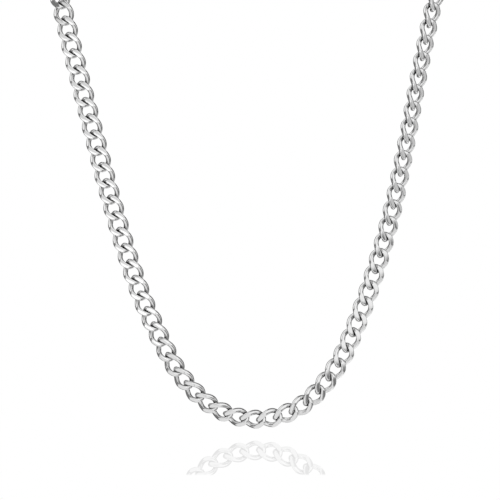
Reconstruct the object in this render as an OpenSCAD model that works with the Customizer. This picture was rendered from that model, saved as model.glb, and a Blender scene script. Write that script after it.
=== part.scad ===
// Curb chain necklace: a closed loop of flat twisted links with a plain barrel clasp at the nape.
// Millimetres, +Z up, the front towards -Y. The origin is where the loop hangs at the nape.

/* [Chain] */
// Overall length of one link
link_l = 7.9; // [7.4:0.1:9]
// Overall width of one link, which is the width of the chain
link_w = 6; // [5.4:0.1:7]
// Thickness of the wire
wire_d = 1.4; // [1.1:0.05:1.45]
// Angle that the two ends of a link are turned against each other
link_twist = 94; // [90:1:104]
// Depth filed off each flat side of a link
filed = 0.2; // [0:0.05:0.35]
// Spare length left where one link hooks into the next
play = 0.31; // [0.3:0.01:0.6]

/* [Clasp] */
// Length of the barrel, without its eyes
barrel_l = 13.5; // [9:0.5:18]
// Diameter of the barrel
barrel_d = 3.6; // [3:0.1:5]
// Rounding of the barrel's two rims
rim_r = 0.6; // [0.2:0.1:0.7]
// Width of the groove round the middle of the barrel
groove_w = 0.6; // [0.3:0.1:1]
// Depth of the groove
groove_depth = 0.25; // [0.1:0.05:0.4]
// Hole through each eye
eye_hole = 2.2; // [2.1:0.1:3]
// Thickness of the eyes' wire
eye_wire = 1.2; // [0.9:0.1:1.4]
// Distance along the loop from its start at the nape to the middle of the clasp
clasp_shift = -0.4; // [-4:0.1:4]

/* [Hidden] */

// The loop's run, from the nape down its left side, across the front and back up its right side.
// The flat side faces an azimuth (0 to the front, 90 to the right) and is tilted above the level.
col_x = 0;
col_y = 1;
col_z = 2;
col_azimuth = 3;
col_tilt = 4;
route = [
    [0, 0, 0, 180, 40],
    [-15.5, -2.5, -0.5, -162, 40],
    [-32, -10.5, -1.5, -143, 42],
    [-45, -22.5, -2.5, -122, 46],
    [-53.5, -38.5, -3.5, -100, 54],
    [-57.5, -59.5, -6, -75, 64],
    [-58, -76, -12, -45, 50],
    [-56, -87, -22, -26, 20],
    [-53, -92, -35, -17, 2],
    [-48.5, -92, -53.5, -13, -3],
    [-43.5, -92, -73, -12, -3],
    [-39, -92, -90, -10, -3],
    [-33.5, -92, -108.5, -14, -5],
    [-28, -92, -123, -17, -8],
    [-19.5, -92, -139.5, -25, -20],
    [-9, -92, -149.5, -18, -32],
    [3.5, -92, -152.5, 0, -33],
    [15.5, -92, -148.5, 12, -23],
    [25, -92, -138, 14, -12],
    [31.5, -92, -124, 15, -6],
    [37, -92, -108, 22, -6],
    [41.5, -92, -91.5, 32, -6],
    [45.5, -92, -72, 43, -5],
    [48.5, -92, -55.5, 47, -3],
    [52.5, -92, -36, 48, 2],
    [56, -87, -22, 55, 20],
    [58, -76, -12, 70, 34],
    [57.5, -59.5, -6, 83, 40],
    [53.5, -38.5, -3.5, 100, 42],
    [45, -22.5, -2.5, 122, 41],
    [32, -10.5, -1.5, 143, 40],
    [15.5, -2.5, -0.5, 162, 40]
];

// Measuring steps between two points of the route
route_steps = 12;
// Stations round a link, and sides of its wire
link_stations = 12;
wire_sides = 6;
// Angle round a link, and length along the route, over which a direction is read
wire_step = 0.5;
route_step = 0.5;
// Segments of the clasp's round surfaces
clasp_fn = 48;

function unit(v) = v / norm(v);

// A smooth closed curve through the items of a list, where t counts the items
function item(list, i) = list[(i + len(list)) % len(list)];
function curve(list, t) =
    let (i = floor(t), f = t - i)
    let (a = item(list, i - 1), b = item(list, i), c = item(list, i + 1), d = item(list, i + 2))
    b + (c - a) * f / 2 + (2 * a - 5 * b + 4 * c - d) * pow(f, 2) / 2
        + (3 * b - a - 3 * c + d) * pow(f, 3) / 2;

// The route's points, the way its flat side faces at each, and the length of the loop up to each step
route_points = [for (row = route) [row[col_x], row[col_y], row[col_z]]];
route_facing = [for (row = route)
    let (azimuth = row[col_azimuth], tilt = row[col_tilt])
    [sin(azimuth) * cos(tilt), -cos(azimuth) * cos(tilt), sin(tilt)]];
step_count = len(route) * route_steps;
steps = [for (i = [0 : step_count]) curve(route_points, i / route_steps)];
step_lengths = [for (i = 0, run = 0; i <= step_count; i = i + 1,
    run = run + (i <= step_count ? norm(steps[i] - steps[i - 1]) : 0)) run];
step_at_length = [for (i = [0 : step_count]) [step_lengths[i], i / route_steps]];
route_l = step_lengths[step_count];

// The place of a length along the loop, counted in the route's points
function at_length(length) = lookup((length + route_l) % route_l, step_at_length);
function point_at(length) = curve(route_points, at_length(length));
function along_at(length) = unit(point_at(length + route_step) - point_at(length - route_step));
function facing_at(length, along) =
    let (facing = curve(route_facing, at_length(length)))
    unit(facing - (facing * along) * along);

// Sets a piece down at a point, its X along the chain and its Z the way the flat side faces
module set_down(point, along, facing) {
    across = cross(facing, along);
    multmatrix([for (i = [0 : 2]) [along[i], across[i], facing[i], point[i]]]) children();
}

// The wire's middle line: an oval that is turned evenly about its length
half_l = (link_l - wire_d) / 2;
half_w = (link_w - wire_d) / 2;
function wire_at(angle) =
    let (across = half_w * sin(angle), turn = -link_twist / 2 * cos(angle))
    [half_l * cos(angle), across * cos(turn), across * sin(turn)];

// The corners of the wire's section at one station
function section(angle) =
    let (along = unit(wire_at(angle + wire_step) - wire_at(angle - wire_step)))
    let (up = unit([0, 0, 1] - along[2] * along), out = cross(along, up))
    [for (side = [0 : wire_sides - 1])
        let (q = 360 * side / wire_sides)
        wire_at(angle) + wire_d / 2 * (cos(q) * out + sin(q) * up)];

// The corners of a whole link, cut down to the filed thickness
round_corners = [for (i = [0 : link_stations - 1]) each section(360 * i / link_stations)];
flat_z = max([for (corner = round_corners) corner[2]]) - filed;
link_corners = [for (corner = round_corners)
    [corner[0], corner[1], min(max(corner[2], -flat_z), flat_z)]];
link_faces = [for (i = [0 : link_stations - 1], side = [0 : wire_sides - 1])
    let (here = i * wire_sides, there = (i + 1) % link_stations * wire_sides)
    let (turned = (side + 1) % wire_sides)
    each [[here + side, here + turned, there + turned], [here + side, there + turned, there + side]]];

// The clasp takes its length of the loop, and the links share the rest evenly
eye_r = (eye_hole + eye_wire) / 2;
eye_at = barrel_l / 2 + eye_r;
eye_to_link = eye_hole / 2 + link_l / 2 - wire_d - play;
chain_start = clasp_shift + eye_at + eye_to_link;
chain_l = route_l - 2 * (eye_at + eye_to_link);
link_count = ceil(chain_l / (link_l - 2 * wire_d - play)) + 1;
pitch = chain_l / (link_count - 1);
left_count = ceil(link_count / 2);

module link() {
    polyhedron(points = link_corners, faces = link_faces, convexity = 4);
}

module links(first, last) {
    for (i = [first : last]) {
        length = chain_start + i * pitch;
        along = along_at(length);
        set_down(point_at(length), along, facing_at(length, along)) link();
    }
}

module chain_left() {
    color("silver") links(0, left_count - 1);
}

module chain_right() {
    color("silver") links(left_count, link_count - 1);
}

// Half the barrel's outline, with rounded rims and a groove round its middle
module barrel_outline() {
    difference() {
        union() {
            translate([0, -barrel_l / 2]) square([barrel_d / 2 - rim_r, barrel_l]);
            translate([0, rim_r - barrel_l / 2]) square([barrel_d / 2, barrel_l - 2 * rim_r]);
            for (end = [-1, 1]) {
                translate([barrel_d / 2 - rim_r, end * (barrel_l / 2 - rim_r)])
                    circle(r = rim_r, $fn = clasp_fn);
            }
        }
        translate([barrel_d / 2 - groove_depth, -groove_w / 2]) square([barrel_d, groove_w]);
    }
}

// One eye, its hole turned about the clasp's length to cross the link that hooks into it
module eye(end, turn) {
    translate([end * eye_at, 0, 0]) rotate([turn, 0, 0])
        rotate_extrude($fn = clasp_fn) translate([eye_r, 0]) circle(d = eye_wire, $fn = clasp_fn);
}

module clasp() {
    eyes = [for (end = [-1, 1]) point_at(clasp_shift + end * eye_at)];
    along = unit(eyes[1] - eyes[0]);
    color("silver")
        set_down((eyes[0] + eyes[1]) / 2, along, facing_at(clasp_shift, along)) {
            rotate([0, 90, 0]) rotate_extrude($fn = clasp_fn) barrel_outline();
            eye(-1, link_twist / 2);
            eye(1, -link_twist / 2);
        }
}

chain_left();
chain_right();
clasp();
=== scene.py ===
import math
import bpy
import numpy as np
from mathutils import Matrix, Vector


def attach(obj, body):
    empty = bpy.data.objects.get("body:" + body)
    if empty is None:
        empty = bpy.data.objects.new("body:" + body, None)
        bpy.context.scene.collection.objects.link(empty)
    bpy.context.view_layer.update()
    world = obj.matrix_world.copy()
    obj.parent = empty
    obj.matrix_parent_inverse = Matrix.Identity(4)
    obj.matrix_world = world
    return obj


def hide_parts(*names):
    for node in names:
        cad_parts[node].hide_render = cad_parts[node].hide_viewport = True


# A steel curb chain, laid link by link where the solids lie, with its barrel clasp, in a white studio
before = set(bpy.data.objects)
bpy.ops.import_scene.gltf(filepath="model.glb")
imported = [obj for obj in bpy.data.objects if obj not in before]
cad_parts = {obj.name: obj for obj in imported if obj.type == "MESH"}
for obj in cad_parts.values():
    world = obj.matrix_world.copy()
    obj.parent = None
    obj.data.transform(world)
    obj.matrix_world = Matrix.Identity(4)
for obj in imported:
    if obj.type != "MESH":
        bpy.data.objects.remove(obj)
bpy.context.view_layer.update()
mm = 0.001
nearlyNothing = 0.001 * mm      # closer than this, two points are one
noiseSpan = (0.3, 0.7)          # nearly all of a noise lies between these
scene = bpy.context.scene
scene.view_settings.view_transform = "Standard"
print("frame loaded")


def pickOnly(*objects):  # selects these objects and nothing else, and works on the first
    bpy.ops.object.select_all(action="DESELECT")
    for obj in objects:
        obj.select_set(True)
    bpy.context.view_layer.objects.active = objects[0]


def selectWhere(test):  # selects the vertices of the mesh in edit mode whose place passes the test
    bpy.ops.mesh.select_all(action="DESELECT")
    bpy.ops.object.mode_set(mode="OBJECT")
    for v in bpy.context.object.data.vertices:
        v.select = bool(test(v.co))
    bpy.ops.object.mode_set(mode="EDIT")


def linearColour(hexCode):  # an sRGB hex value, such as "c8c8c6", as the linear colour that a socket takes
    shares = [int(hexCode[i:i + 2], 16) / 255 for i in (0, 2, 4)]
    return [s / 12.92 if s <= 0.04045 else ((s + 0.055) / 1.055) ** 2.4 for s in shares] + [1]


def addNode(tree, kind, settings={}, inputs={}):  # a node with its settings, values and links
    node = tree.nodes.new(kind)
    for name, value in settings.items():
        setattr(node, name, value)
    for name, value in inputs.items():
        if isinstance(value, bpy.types.NodeSocket):
            tree.links.new(value, node.inputs[name])
        else:
            node.inputs[name].default_value = value
    return node


def cadLinks(nodeName):  # the place and turn of every link in a CAD node, and the outer size of one
    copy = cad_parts[nodeName].copy()
    copy.data = copy.data.copy()
    scene.collection.objects.link(copy)
    pickOnly(copy)
    bpy.ops.object.mode_set(mode="EDIT")
    bpy.ops.mesh.select_all(action="SELECT")
    bpy.ops.mesh.remove_doubles(threshold=nearlyNothing)
    bpy.ops.mesh.separate(type="LOOSE")
    bpy.ops.object.mode_set(mode="OBJECT")
    places = []
    for loose in list(bpy.context.selected_objects):
        corners = np.array([v.co for v in loose.data.vertices])
        centre = corners.mean(0)
        axes = np.linalg.svd(corners - centre, full_matrices=False)[2]  # along, across, through its flat
        axes[2] *= np.sign(np.linalg.det(axes))
        size = np.ptp((corners - centre) @ axes.T, axis=0)
        places.append((Vector(centre), Matrix(axes.tolist()).transposed()))
        bpy.data.objects.remove(loose)
    return places, size


# One link: round wire bent to an oval, turned a quarter about its length, and filed on both faces
linkShape = {
    "wire": 1.44 * mm,      # thickness of the drawn wire
    "spare": 0.12 * mm,     # how much shorter it is than the solid, which leaves more room where links hook
    "twist": 94,            # degrees between its two ends
    "bends": 44,            # straight steps round the oval
    "wireSmoothness": 5,    # gives the wire 14 sides
    "crown": 0.12,          # share of the wire's roundness that the tumbled flats keep
    "weld": 0.06 * mm,      # corners nearer than this on the crowded inside of the oval become one
    "rimRounding": 0.06 * mm,   # what tumbling takes off the rims of the flats
    "rimAngle": 28,         # edges sharper than this are rims, which the wire's own steps aren't
    "smoothAngle": 50,      # edges softer than this are shaded smooth
}
placesLeft, linkSize = cadLinks("chain_left")
placesRight, _ = cadLinks("chain_right")
print("links in the frame:", len(placesLeft), len(placesRight), "size in mm", (linkSize / mm).round(3))


def makeLink():
    wire = linkShape["wire"]
    bpy.ops.object.select_all(action="DESELECT")
    bpy.ops.mesh.primitive_circle_add(vertices=linkShape["bends"], radius=1, fill_type="NOTHING")
    link = bpy.context.object
    bpy.ops.object.mode_set(mode="EDIT")
    bpy.ops.mesh.select_all(action="SELECT")
    length = linkSize[0] - linkShape["spare"]
    bpy.ops.transform.resize(value=((length - wire) / 2, (linkSize[1] - wire) / 2, 1))
    bpy.ops.object.mode_set(mode="OBJECT")
    bend = link.modifiers.new("twist", "SIMPLE_DEFORM")
    bend.deform_method = "TWIST"
    bend.deform_axis = "X"
    bend.angle = -math.radians(linkShape["twist"])
    bpy.ops.object.modifier_apply(modifier=bend.name)
    top = max(v.co.z for v in link.data.vertices) + wire / 2
    bpy.ops.object.convert(target="CURVE")
    link.data.dimensions = "3D"
    link.data.twist_mode = "Z_UP"
    link.data.bevel_depth = wire / 2
    link.data.bevel_resolution = linkShape["wireSmoothness"]
    bpy.ops.object.convert(target="MESH")
    link = bpy.context.object
    # the wire above this level is pressed down to its crown, whose top lies level with the solid's face
    flat = (linkSize[2] / 2 - linkShape["crown"] * top) / (1 - linkShape["crown"])
    bpy.ops.object.mode_set(mode="EDIT")
    for side in (1, -1):
        bpy.ops.mesh.select_all(action="SELECT")
        bpy.ops.mesh.bisect(plane_co=(0, 0, side * flat), plane_no=(0, 0, side), threshold=nearlyNothing)
        selectWhere(lambda place: side * place.z > flat + nearlyNothing)
        bpy.ops.transform.resize(value=(1, 1, linkShape["crown"]), center_override=(0, 0, side * flat))
    bpy.ops.mesh.select_all(action="SELECT")
    bpy.ops.mesh.remove_doubles(threshold=linkShape["weld"])
    bpy.ops.mesh.normals_make_consistent(inside=False)
    bpy.ops.object.mode_set(mode="OBJECT")
    rims = link.modifiers.new("rims", "BEVEL")
    rims.limit_method = "ANGLE"
    rims.angle_limit = math.radians(linkShape["rimAngle"])
    rims.width = linkShape["rimRounding"]
    rims.segments = 1
    bpy.ops.object.modifier_apply(modifier=rims.name)
    bpy.ops.object.shade_smooth_by_angle(angle=math.radians(linkShape["smoothAngle"]))
    return link


link = makeLink()
print("link made:", len(link.data.polygons), "faces")

# Stainless steel, AISI 304 wire: bent and filed, then tumbled with steel pins to a mirror that is a little
# soft and uneven. Where the links hook, painted shade darkens the steel's colour, and the steel is made
# rougher there.
steelFinish = {
    "polished": "e6e6e6",
    # the dark grey that is painted in as shade where the links hook
    "paintedShade": "545454",
    "roughness": (0.08, 0.14),
    "dullRoughness": 0.4,
    "mottle": 1.6 * mm,     # size of the patches that the tumbling leaves
    "mottleDetail": 3,
    "pinMarks": 0.35 * mm,  # really about 0.05 mm: drawn as coarse as it needs to show
    "pinDepth": 0.004 * mm,
    "pinDetail": 2,
    "reach": 1.2 * mm,      # how near another surface has to be for the painted shade and the rougher steel
    "roomSamples": 8,
    "paintedShadeAndRoughSpan": (0.26, 0.56),  # share of open room round a point: wholly painted shade and rough, and wholly unshaded and polished
}


def tumbledSteel(name):
    material = bpy.data.materials.new(name)
    material.use_nodes = True
    tree = material.node_tree
    tree.nodes.clear()
    place = addNode(tree, "ShaderNodeTexCoord").outputs["Object"]
    mottle = addNode(tree, "ShaderNodeTexNoise", {}, {
        "Vector": place, "Scale": 1 / steelFinish["mottle"], "Detail": steelFinish["mottleDetail"]})
    polish = addNode(tree, "ShaderNodeMapRange", {}, {
        "Value": mottle.outputs["Fac"], "From Min": noiseSpan[0], "From Max": noiseSpan[1],
        "To Min": steelFinish["roughness"][0], "To Max": steelFinish["roughness"][1]})
    room = addNode(tree, "ShaderNodeAmbientOcclusion", {"samples": steelFinish["roomSamples"]}, {
        "Distance": steelFinish["reach"]})
    unshadedAndPolished = addNode(tree, "ShaderNodeMapRange", {"interpolation_type": "SMOOTHSTEP"}, {
        "Value": room.outputs["AO"], "From Min": steelFinish["paintedShadeAndRoughSpan"][0],
        "From Max": steelFinish["paintedShadeAndRoughSpan"][1]}).outputs["Result"]
    # by number, because a mix of colours shares its sockets' names with a mix of numbers
    # painted shade: where other links crowd round, the steel's colour is mixed towards the dark grey
    colour = addNode(tree, "ShaderNodeMix", {"data_type": "RGBA"}, {
        "Factor": unshadedAndPolished, 6: linearColour(steelFinish["paintedShade"]), 7: linearColour(steelFinish["polished"])})
    rough = addNode(tree, "ShaderNodeMix", {}, {
        "Factor": unshadedAndPolished, "A": steelFinish["dullRoughness"], "B": polish.outputs["Result"]})
    marks = addNode(tree, "ShaderNodeTexNoise", {}, {
        "Vector": place, "Scale": 1 / steelFinish["pinMarks"], "Detail": steelFinish["pinDetail"]})
    bump = addNode(tree, "ShaderNodeBump", {}, {
        "Height": marks.outputs["Fac"], "Distance": steelFinish["pinDepth"], "Strength": 1})
    steel = addNode(tree, "ShaderNodeBsdfPrincipled", {}, {
        "Base Color": colour.outputs[2], "Metallic": 1,
        "Roughness": rough.outputs["Result"], "Normal": bump.outputs["Normal"]})
    addNode(tree, "ShaderNodeOutputMaterial", {}, {"Surface": steel.outputs["BSDF"]})
    return material


linkSteel = tumbledSteel("tumbledStainlessWire")


def layChain(pieceName, nodeName, places):
    copies = []
    for centre, turn in places:
        copy = link.copy()
        copy.data = link.data.copy()
        copy.matrix_world = Matrix.Translation(centre) @ turn.to_4x4()
        scene.collection.objects.link(copy)
        copies.append(copy)
    pickOnly(*copies)
    bpy.ops.object.join()
    bpy.ops.object.transform_apply(location=True, rotation=True, scale=True)
    chain = bpy.context.object
    chain.name = chain.data.name = pieceName
    chain.data.materials.clear()
    chain.data.materials.append(linkSteel)
    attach(chain, "root")
    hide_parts(nodeName)


layChain("chainLeft", "chain_left", placesLeft)
layChain("chainRight", "chain_right", placesRight)
bpy.data.objects.remove(link)
print("chain laid")


# The clasp: a turned barrel with a parting groove, and an eye of wire soldered into each end
claspShape = {
    "barrel": 13.5 * mm,
    "diameter": 3.6 * mm,
    "rim": 0.6 * mm,            # rounding of the barrel's two ends
    "grooveTop": 0.6 * mm,
    "grooveFoot": 0.4 * mm,
    "grooveDepth": 0.25 * mm,
    "eyeHole": 2.2 * mm,
    "eyeWire": 1.2 * mm,
    "sides": 64,                # round the barrel
    "rimSteps": 6,              # faces across the rounding
    "eyeSides": (48, 16),       # round the eye, and round its wire
    "sharp": 60,                # edges of the plain bar that are sharper than this get the rounding
    "smoothAngle": 30,          # edges softer than this are shaded smooth
}


# Stainless steel, AISI 304 bar: turned on a lathe and buffed to a mirror with faint rings round it
claspFinish = {
    "buffed": "e4e4e4",
    "roughness": (0.07, 0.16),
    "rings": 0.22 * mm,         # really about 0.05 mm: drawn as coarse as it needs to show
    "ringDepth": 0.006 * mm,
    "smudges": 2.5 * mm,        # size of the patches that buffing leaves softer
    "detail": 2,                # of both patterns
}


def turnedSteel(name, middle, turn):
    material = bpy.data.materials.new(name)
    material.use_nodes = True
    tree = material.node_tree
    tree.nodes.clear()
    place = addNode(tree, "ShaderNodeTexCoord").outputs["Object"]
    # along the clasp a ring's width is one, and across it the pattern hardly changes
    alongBar = addNode(tree, "ShaderNodeMapping", {"vector_type": "TEXTURE"}, {
        "Vector": place, "Location": middle, "Rotation": turn.to_euler(),
        "Scale": (1, 1, claspFinish["rings"])})
    rings = addNode(tree, "ShaderNodeTexNoise", {}, {
        "Vector": alongBar.outputs["Vector"], "Scale": 1, "Detail": claspFinish["detail"]})
    smudges = addNode(tree, "ShaderNodeTexNoise", {}, {
        "Vector": place, "Scale": 1 / claspFinish["smudges"], "Detail": claspFinish["detail"]})
    rough = addNode(tree, "ShaderNodeMapRange", {}, {
        "Value": smudges.outputs["Fac"], "From Min": noiseSpan[0], "From Max": noiseSpan[1],
        "To Min": claspFinish["roughness"][0], "To Max": claspFinish["roughness"][1]})
    bump = addNode(tree, "ShaderNodeBump", {}, {
        "Height": rings.outputs["Fac"], "Distance": claspFinish["ringDepth"], "Strength": 1})
    steel = addNode(tree, "ShaderNodeBsdfPrincipled", {}, {
        "Base Color": linearColour(claspFinish["buffed"]), "Metallic": 1,
        "Roughness": rough.outputs["Result"], "Normal": bump.outputs["Normal"]})
    addNode(tree, "ShaderNodeOutputMaterial", {}, {"Surface": steel.outputs["BSDF"]})
    return material


def claspPlace():  # where the clasp lies, the way it runs, and the way each eye's hole faces
    corners = np.array([v.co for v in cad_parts["clasp"].data.vertices])
    # each corner once, however many faces meet there
    corners = np.unique((corners / mm).round(4), axis=0) * mm
    middle = corners.mean(0)
    along = np.linalg.svd(corners - middle, full_matrices=False)[2][0]
    reach = (corners - middle) @ along
    middle = middle + along * (reach.max() + reach.min()) / 2
    reach = (corners - middle) @ along
    holes = {}
    for end in (-1, 1):
        eye = corners[end * reach > claspShape["barrel"] / 2 + claspShape["eyeWire"] / 2]
        holes[end] = np.linalg.svd(eye - eye.mean(0), full_matrices=False)[2][2]
    return middle, along, holes


def makeClasp():
    middle, along, holes = claspPlace()
    half = claspShape["barrel"] / 2
    radius = claspShape["diameter"] / 2
    bpy.ops.object.select_all(action="DESELECT")
    bpy.ops.mesh.primitive_cylinder_add(vertices=claspShape["sides"], radius=radius, depth=2 * half)
    clasp = bpy.context.object
    bpy.ops.object.mode_set(mode="EDIT")
    bpy.ops.mesh.select_all(action="DESELECT")
    bpy.ops.mesh.select_mode(type="EDGE")
    bpy.ops.mesh.edges_select_sharp(sharpness=math.radians(claspShape["sharp"]))
    bpy.ops.mesh.bevel(offset=claspShape["rim"], segments=claspShape["rimSteps"])
    bpy.ops.mesh.select_mode(type="VERT")
    top, foot = claspShape["grooveTop"], claspShape["grooveFoot"]
    for width in (top, foot):
        for side in (-1, 1):
            bpy.ops.mesh.select_all(action="SELECT")
            bpy.ops.mesh.bisect(
                plane_co=(0, 0, side * width / 2), plane_no=(0, 0, 1), threshold=nearlyNothing)
    selectWhere(lambda place: abs(place.z) < (top + foot) / 4)     # the foot's two rings alone
    inwards = 1 - claspShape["grooveDepth"] / radius
    bpy.ops.transform.resize(value=(inwards, inwards, 1))
    bpy.ops.object.mode_set(mode="OBJECT")
    run = Vector(along)
    lie = run.to_track_quat("Z", "Y")
    clasp.matrix_world = Matrix.Translation(middle) @ lie.to_matrix().to_4x4()
    eyeRadius = (claspShape["eyeHole"] + claspShape["eyeWire"]) / 2
    for end, hole in holes.items():
        bpy.ops.object.select_all(action="DESELECT")
        bpy.ops.mesh.primitive_torus_add(
            major_segments=claspShape["eyeSides"][0], minor_segments=claspShape["eyeSides"][1],
            major_radius=eyeRadius, minor_radius=claspShape["eyeWire"] / 2)
        eye = bpy.context.object
        turn = Vector(hole).to_track_quat("Z", "Y").to_matrix().to_4x4()
        eye.matrix_world = Matrix.Translation(Vector(middle) + run * end * (half + eyeRadius)) @ turn
        solder = clasp.modifiers.new("solder", "BOOLEAN")
        solder.operation = "UNION"
        solder.solver = "EXACT"
        solder.object = eye
        pickOnly(clasp)
        bpy.ops.object.modifier_apply(modifier=solder.name)
        bpy.data.objects.remove(eye)
    pickOnly(clasp)
    bpy.ops.object.transform_apply(location=True, rotation=True, scale=True)
    bpy.ops.object.shade_smooth_by_angle(angle=math.radians(claspShape["smoothAngle"]))
    clasp.name = clasp.data.name = "barrelClasp"
    clasp.data.materials.clear()
    clasp.data.materials.append(turnedSteel("buffedStainlessBar", middle, lie))
    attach(clasp, "root")
    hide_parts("clasp")


makeClasp()
print("clasp made")

# The lights: white softboxes, cards and black flags all round, which polished steel shows as its bright and
# dark bands. Each is a round patch of the room, and the rest of the room is dim.
studio = {
    "white": "ffffff",
    "fill": 0.22,               # the room's own light
    "darkest": 0.08,            # what is left of it where a flag stands
    "softEdge": (0.9, 1.1),     # where a patch begins and ends, as shares of its half angle
    "patches": (    # azimuth from the camera's side to the right, elevation, half angle, strength
        (-96, 49, 33, 0.9),     # softbox, high on the left
        (25, 25, 45, 0.85),     # large softbox above the camera
        (-32, -6, 17, 0.6),     # card at the left front
        (80, -2, 22, 0.45),     # card on the right
        (117, -47, 24, 0.8),    # card, low at the right back
        (-21, -50, 43, 0.7),    # table in front
        (175, -62, 30, 0.45),   # table behind
        (8, 3, 9, -0.4),        # the dark of the camera itself
        (-35, -45, 12, -0.3),   # flag on the table
        (95, 25, 14, -0.6),     # flag above the right card
        (125, 0, 14, -0.6),     # flag behind the right card
        (-109, -44, 23, -0.3),  # flag, low on the left
        (-168, 12, 50, -0.9),   # flags round the backdrop
    ),
    "backdrop": (180, 2, 26),   # the white wall behind: azimuth, elevation, half angle
}


def towardsPatch(azimuth, elevation):
    a, e = math.radians(azimuth), math.radians(elevation)
    return math.sin(a) * math.cos(e), -math.cos(a) * math.cos(e), math.sin(e)


def lightStudio():
    world = bpy.data.worlds.new("studio")
    scene.world = world
    world.use_nodes = True
    tree = world.node_tree
    tree.nodes.clear()
    towards = addNode(tree, "ShaderNodeTexCoord").outputs["Generated"]

    def patch(azimuth, elevation, half, strength):
        inner, outer = (math.cos(math.radians(half * share)) for share in studio["softEdge"])
        dot = addNode(tree, "ShaderNodeVectorMath", {"operation": "DOT_PRODUCT"}, {
            0: towards, 1: towardsPatch(azimuth, elevation)})
        return addNode(tree, "ShaderNodeMapRange", {"interpolation_type": "SMOOTHSTEP"}, {
            "Value": dot.outputs["Value"], "From Min": outer, "From Max": inner,
            "To Max": strength}).outputs["Result"]

    light = studio["fill"]
    for values in studio["patches"]:
        light = addNode(tree, "ShaderNodeMath", {"operation": "ADD"}, {
            0: patch(*values), 1: light}).outputs[0]
    light = addNode(tree, "ShaderNodeMath", {"operation": "MAXIMUM"}, {
        0: light, 1: studio["darkest"]}).outputs[0]
    room = addNode(tree, "ShaderNodeMix", {}, {
        "Factor": patch(*studio["backdrop"], 1), "A": light, "B": 1})
    studioLight = addNode(tree, "ShaderNodeBackground", {}, {
        "Color": linearColour(studio["white"]), "Strength": room.outputs["Result"]})
    backdrop = addNode(tree, "ShaderNodeBackground", {}, {"Color": linearColour(studio["white"])})
    # the camera sees the white wall all round, and so does the table, whose mirror alone is wholly sharp
    path = addNode(tree, "ShaderNodeLightPath")
    plain = addNode(tree, "ShaderNodeMath", {"operation": "MAXIMUM"}, {
        0: path.outputs["Is Camera Ray"], 1: path.outputs["Is Singular Ray"]})
    mix = addNode(tree, "ShaderNodeMixShader", {}, {
        0: plain.outputs[0], 1: studioLight.outputs[0], 2: backdrop.outputs[0]})
    addNode(tree, "ShaderNodeOutputWorld", {}, {"Surface": mix.outputs[0]})


lightStudio()


# The floor: a white table with a round lacquered place, which mirrors the chain faintly at a low angle
floorFinish = {
    "level": -157 * mm,             # just under the lowest link
    "size": 6,                      # metres
    "gloss": 0.35,                  # share of a clear lacquer's mirror
    "roughness": 0.0,               # wholly sharp, by which the studio knows the table's mirror
    "ior": 1.45,
    "polishedAt": (0, -100 * mm),   # x and y of the lacquered place's middle
    "polishedRadius": (166 * mm, 174 * mm),     # where the polish starts to end, and where it has ended
}


def layFloor():
    bpy.ops.object.select_all(action="DESELECT")
    bpy.ops.mesh.primitive_plane_add(size=floorFinish["size"], location=(0, 0, floorFinish["level"]))
    bpy.ops.object.transform_apply(location=True, rotation=False, scale=False)
    floor = bpy.context.object
    floor.name = "floor"
    material = bpy.data.materials.new("lacqueredWhiteTable")
    material.use_nodes = True
    tree = material.node_tree
    tree.nodes.clear()
    x, y = floorFinish["polishedAt"]
    outwards = addNode(tree, "ShaderNodeVectorMath", {"operation": "DISTANCE"}, {
        0: addNode(tree, "ShaderNodeTexCoord").outputs["Object"], 1: (x, y, floorFinish["level"])})
    polished = addNode(tree, "ShaderNodeMapRange", {"interpolation_type": "SMOOTHSTEP"}, {
        "Value": outwards.outputs["Value"], "From Min": floorFinish["polishedRadius"][0],
        "From Max": floorFinish["polishedRadius"][1], "To Min": floorFinish["gloss"], "To Max": 0})
    lacquer = addNode(tree, "ShaderNodeFresnel", {}, {"IOR": floorFinish["ior"]})
    share = addNode(tree, "ShaderNodeMath", {"operation": "MULTIPLY"}, {
        0: polished.outputs["Result"], 1: lacquer.outputs["Fac"]})
    white = addNode(tree, "ShaderNodeEmission", {}, {"Color": linearColour(studio["white"])})
    gloss = addNode(tree, "ShaderNodeBsdfGlossy", {}, {
        "Color": linearColour(studio["white"]), "Roughness": floorFinish["roughness"]})
    mix = addNode(tree, "ShaderNodeMixShader", {}, {
        0: share.outputs[0], 1: white.outputs[0], 2: gloss.outputs[0]})
    addNode(tree, "ShaderNodeOutputMaterial", {}, {"Surface": mix.outputs[0]})
    floor.data.materials.append(material)
    floor.visible_glossy = False    # the steel mirrors the room's own table patch instead


layFloor()

view = {
    "distance": 1000 * mm,      # from the front of the chain to the camera
    "frontPlane": -92 * mm,     # where the front of the chain hangs
    "frameWidth": 142.6 * mm,   # what the picture takes in at the front plane
    "centre": (0.57 * mm, -104.3 * mm),     # x and z that the picture's middle shows
    "sensor": 36,               # mm, as on a full-frame camera
    "farthest": 20,             # metres that the camera sees
}


def aimCamera():
    camera = bpy.data.objects.new("camera", bpy.data.cameras.new("camera"))
    scene.collection.objects.link(camera)
    camera.location = (view["centre"][0], view["frontPlane"] - view["distance"], view["centre"][1])
    camera.rotation_euler = (math.radians(90), 0, 0)    # level, towards the back
    camera.data.sensor_width = view["sensor"]
    camera.data.lens = view["sensor"] * view["distance"] / view["frameWidth"]
    camera.data.clip_end = view["farthest"]
    scene.camera = camera


aimCamera()
print("studio set")
